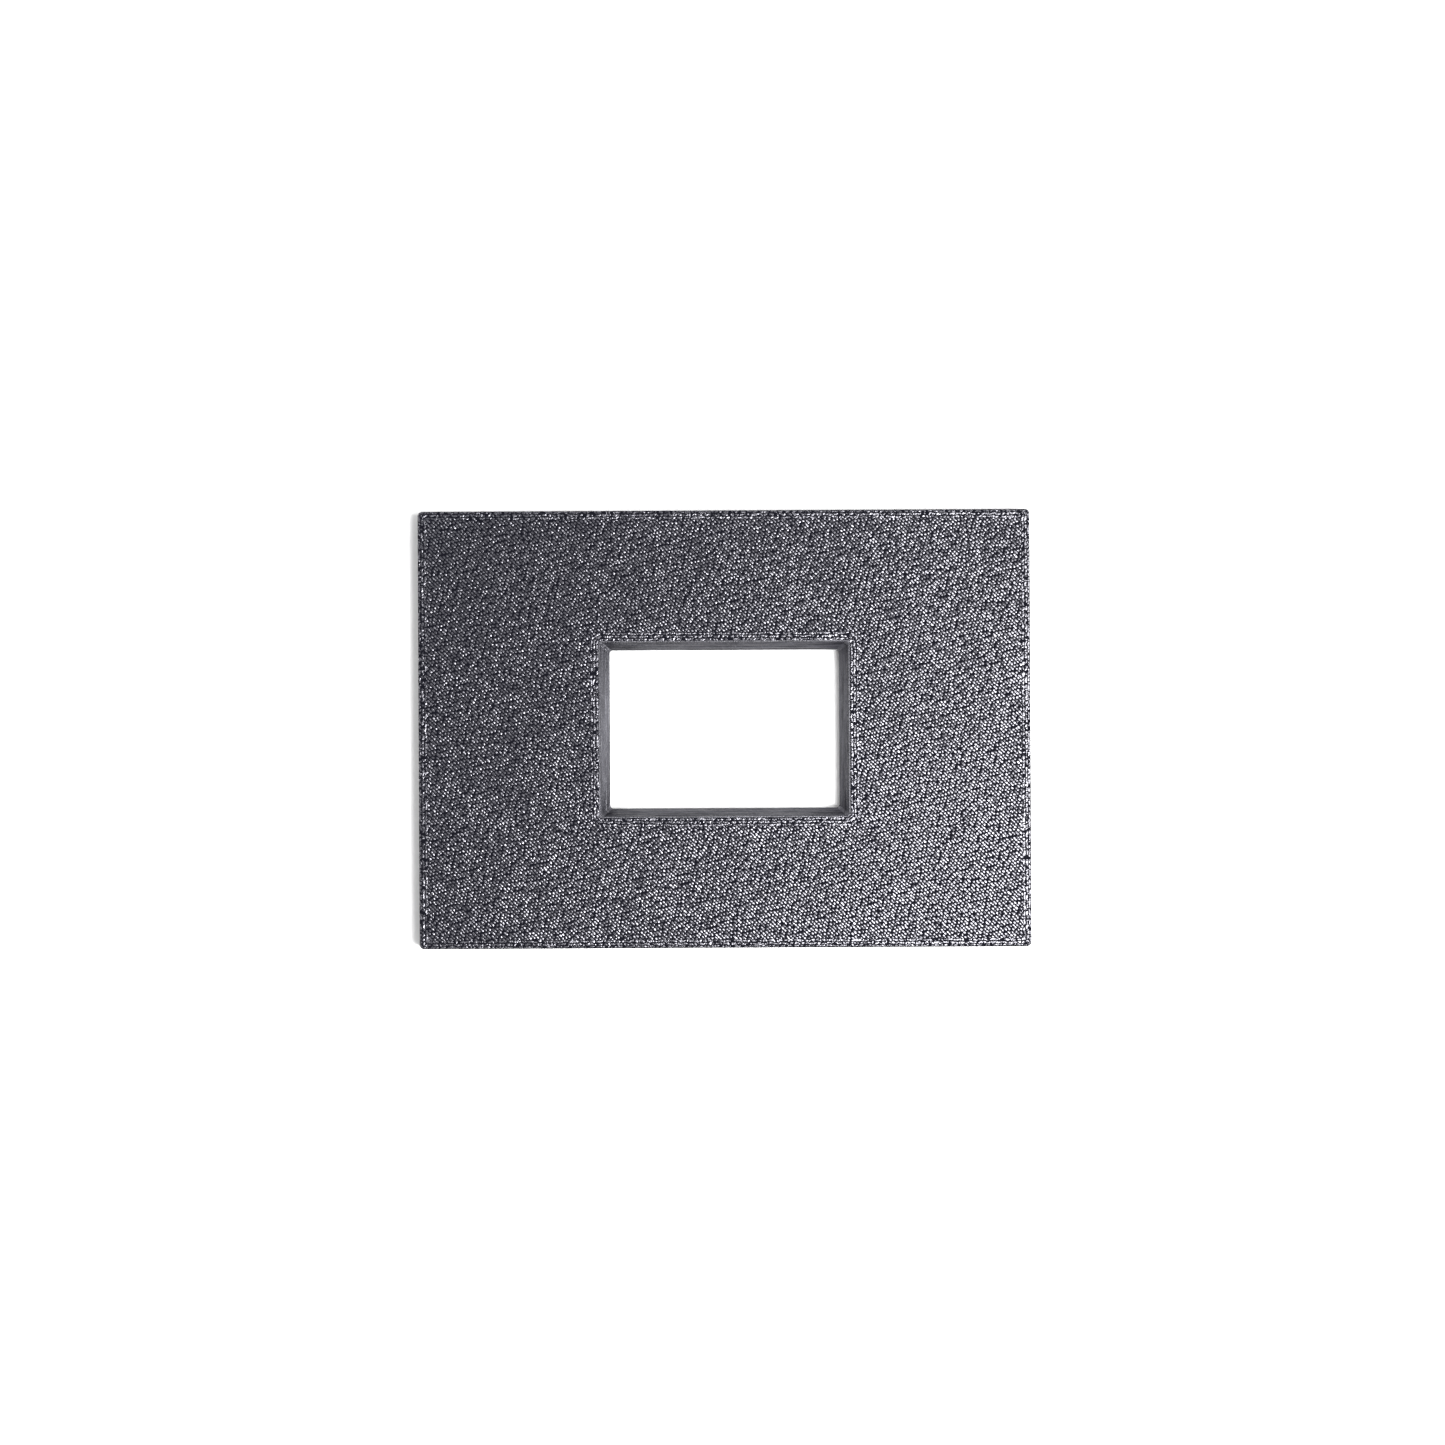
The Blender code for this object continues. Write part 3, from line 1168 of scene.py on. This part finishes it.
@dataclass
class Fittings:
    """The disc magnets and locating pins, and the sockets that hold them."""

    magnet_clearance: float = 0.06 * MM
    pin_clearance: float = 0.08 * MM
    facets: int = 96
    magnet_edge: float = 0.16 * MM
    pin_edge: float = 0.3 * MM
    edge_steps: int = 5
    sharp_angle: float = 35.0

    def sockets(self, side: str, up: float) -> list[Socket]:
        """The holes in one plate.

        Args:
            side: The plate's side, as its magnets' names start.
            up: 1 where the plate's holes go up from its inner face, -1 where they go down.

        Returns:
            The holes.
        """
        found = []
        for name in sorted(frame["nodes"]):
            if name.startswith((f"{side}_magnet", "locating_pin")):
                clearance = self.magnet_clearance if "magnet" in name else self.pin_clearance
                low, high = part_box(name)
                deep = high.z + clearance if up > 0 else low.z - clearance
                found.append(Socket((low + high) / 2, (high.x - low.x) / 2 + clearance, deep))
        return found

    def build(self) -> None:
        """Builds the magnets and pins."""
        nickel, steel = NICKEL.material(), STEEL.material()
        for node in sorted(frame["nodes"]):
            if "magnet" in node:
                piece = self._fitting(node, "disc_magnet", self.magnet_edge, nickel)
                put_in_place(piece, node)
            elif "pin" in node:
                piece = self._fitting(node, "steel_pin", self.pin_edge, steel)
                put_in_place(piece, node)

    def _fitting(self, node: str, kind: str, edge: float, material: bpy.types.Material) -> bpy.types.Object:
        """A turned piece that takes a node's place.

        Args:
            node: The node.
            kind: The piece's name, which the node's own name follows.
            edge: The radius of its edges.
            material: Its finish.

        Returns:
            The piece.
        """
        low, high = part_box(node)
        centre = (low + high) / 2
        half = (high.z - low.z) / 2
        profile = rounded_profile((high.x - low.x) / 2, -half, half, edge, self.edge_steps)
        piece = turned(f"{kind}_{node}", profile, centre, self.facets)
        piece.data.materials.append(material)
        shade(piece, self.sharp_angle)
        return piece


@dataclass(frozen=True)
class PlatePair:
    """The two printed plates, which meet on the film."""

    seam_half: float = 0.035 * MM
    channel_half: float = 17.6 * MM
    opening_margin: float = 0.1 * MM

    def build(self, fittings: Fittings) -> None:
        """Builds both plates.

        Args:
            fittings: What says where their sockets are.
        """
        bottom_low, bottom_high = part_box("bottom_plate")
        top_low, top_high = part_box("top_plate")
        seam = (bottom_high.z + top_low.z) / 2
        outline = Vector((top_high.x, top_high.y))
        opening = frame["record"]["physics"]["openings"][0]["box_m"][1]
        window = Vector((opening[0] + self.opening_margin, opening[1] + self.opening_margin))
        for side, outer, inner, channel_half in (
            ("bottom", bottom_low.z, seam - self.seam_half, self.channel_half),
            ("top", top_high.z, seam + self.seam_half, 0.0),
        ):
            plate = PrintedPlate(side, outer, inner, outline, window, channel_half)
            piece = plate.build(fittings.sockets(side, plate.up))
            put_in_place(piece, f"{side}_plate")


@dataclass(frozen=True)
class Lamp:
    """A square soft box that points at the carrier."""

    name: str
    azimuth: float
    elevation: float
    distance: float
    size: float
    power: float

    def build(self, centre: Vector) -> None:
        """Hangs the lamp.

        Args:
            centre: What it points at.
        """
        turn, rise = math.radians(self.azimuth), math.radians(self.elevation)
        away = Vector((math.cos(turn) * math.cos(rise), math.sin(turn) * math.cos(rise), math.sin(rise)))
        light = bpy.data.lights.new(self.name, "AREA")
        light.shape = "SQUARE"
        light.size = self.size
        light.energy = self.power
        lamp = bpy.data.objects.new(self.name, light)
        lamp.location = centre + away * self.distance
        lamp.rotation_euler = away.to_track_quat("Z", "Y").to_euler()
        bpy.context.scene.collection.objects.link(lamp)


@dataclass
class Studio:
    """White paper, soft light and a camera straight above."""

    object_share: float = 0.4238
    aim: Vector = field(default_factory=lambda: Vector((-0.33 * MM, 1.06 * MM)))
    turn: float = math.radians(-0.29)
    lens: float = 90.0
    sensor: float = 36.0
    floor_half: float = 3.0
    zenith_light: float = 0.15
    middle_light: float = 0.9
    horizon_light: float = 0.8
    dome_lean: tuple[float, float] = (0.15, 0.25)
    lamps: Sequence[Lamp] = (
        Lamp("key", azimuth=-7.0, elevation=57.0, distance=0.75, size=0.44, power=11.0),
        Lamp("sheen", azimuth=-36.0, elevation=73.0, distance=0.42, size=0.12, power=2.2),
        Lamp("fill", azimuth=165.0, elevation=40.0, distance=0.80, size=0.50, power=1.8),
        Lamp("side", azimuth=0.0, elevation=12.0, distance=0.70, size=0.20, power=1.2),
    )

    def build(self, low: Vector, high: Vector) -> None:
        """Sets the stage round the object.

        Args:
            low: The object's lowest corner.
            high: Its highest corner.
        """
        self._paper(low.z)
        self._dome()
        for lamp in self.lamps:
            lamp.build((low + high) / 2)
        self._camera(low, high)
        bpy.context.scene.view_settings.view_transform = "Standard"

    def _paper(self, z: float) -> None:
        """The paper that the carrier lies on."""
        shape = bmesh.new()
        level = Matrix.Translation((0.0, 0.0, z))
        bmesh.ops.create_grid(shape, x_segments=2, y_segments=2, size=self.floor_half, matrix=level)
        paper = new_object("paper", shape)
        paper.data.materials.append(StudioPaper().material())

    def _dome(self) -> None:
        """Even light from all round."""
        world = bpy.data.worlds.new("dome")
        world.use_nodes = True
        graph = NodeGraph(world.node_tree)
        x, y, height = graph.axes(graph.add("ShaderNodeTexCoord", out="Generated"))
        light = height.fade(0.1, 0.5).between(self.horizon_light, self.middle_light)
        light = light + (self.zenith_light - light) * height.fade(0.88, 0.97)
        light = light * (1.0 + x * self.dome_lean[0] + y * self.dome_lean[1])
        graph.tree.links.new(light.socket, graph.tree.nodes["Background"].inputs["Strength"])
        graph.tree.nodes["Background"].inputs["Color"].default_value = (1.0, 1.0, 1.0, 1.0)
        bpy.context.scene.world = world

    def _camera(self, low: Vector, high: Vector) -> None:
        """A camera that looks straight down, as wide as the object's share of the view asks."""
        data = bpy.data.cameras.new("camera")
        data.lens = self.lens
        data.sensor_width = self.sensor
        view_width = (high.x - low.x) / self.object_share
        distance = view_width * self.lens / self.sensor
        camera = bpy.data.objects.new("camera", data)
        camera.location = (self.aim.x, self.aim.y, high.z + distance)
        camera.rotation_euler = (0.0, 0.0, self.turn)
        bpy.context.scene.collection.objects.link(camera)
        bpy.context.scene.camera = camera


def main() -> None:
    """Builds the carrier and its studio."""
    logging.basicConfig(level=logging.INFO, format="%(name)s: %(message)s")
    fittings = Fittings()
    PlatePair().build(fittings)
    fittings.build()
    Studio().build(*CAD_BOX)


if __name__ == "__main__":
    main()
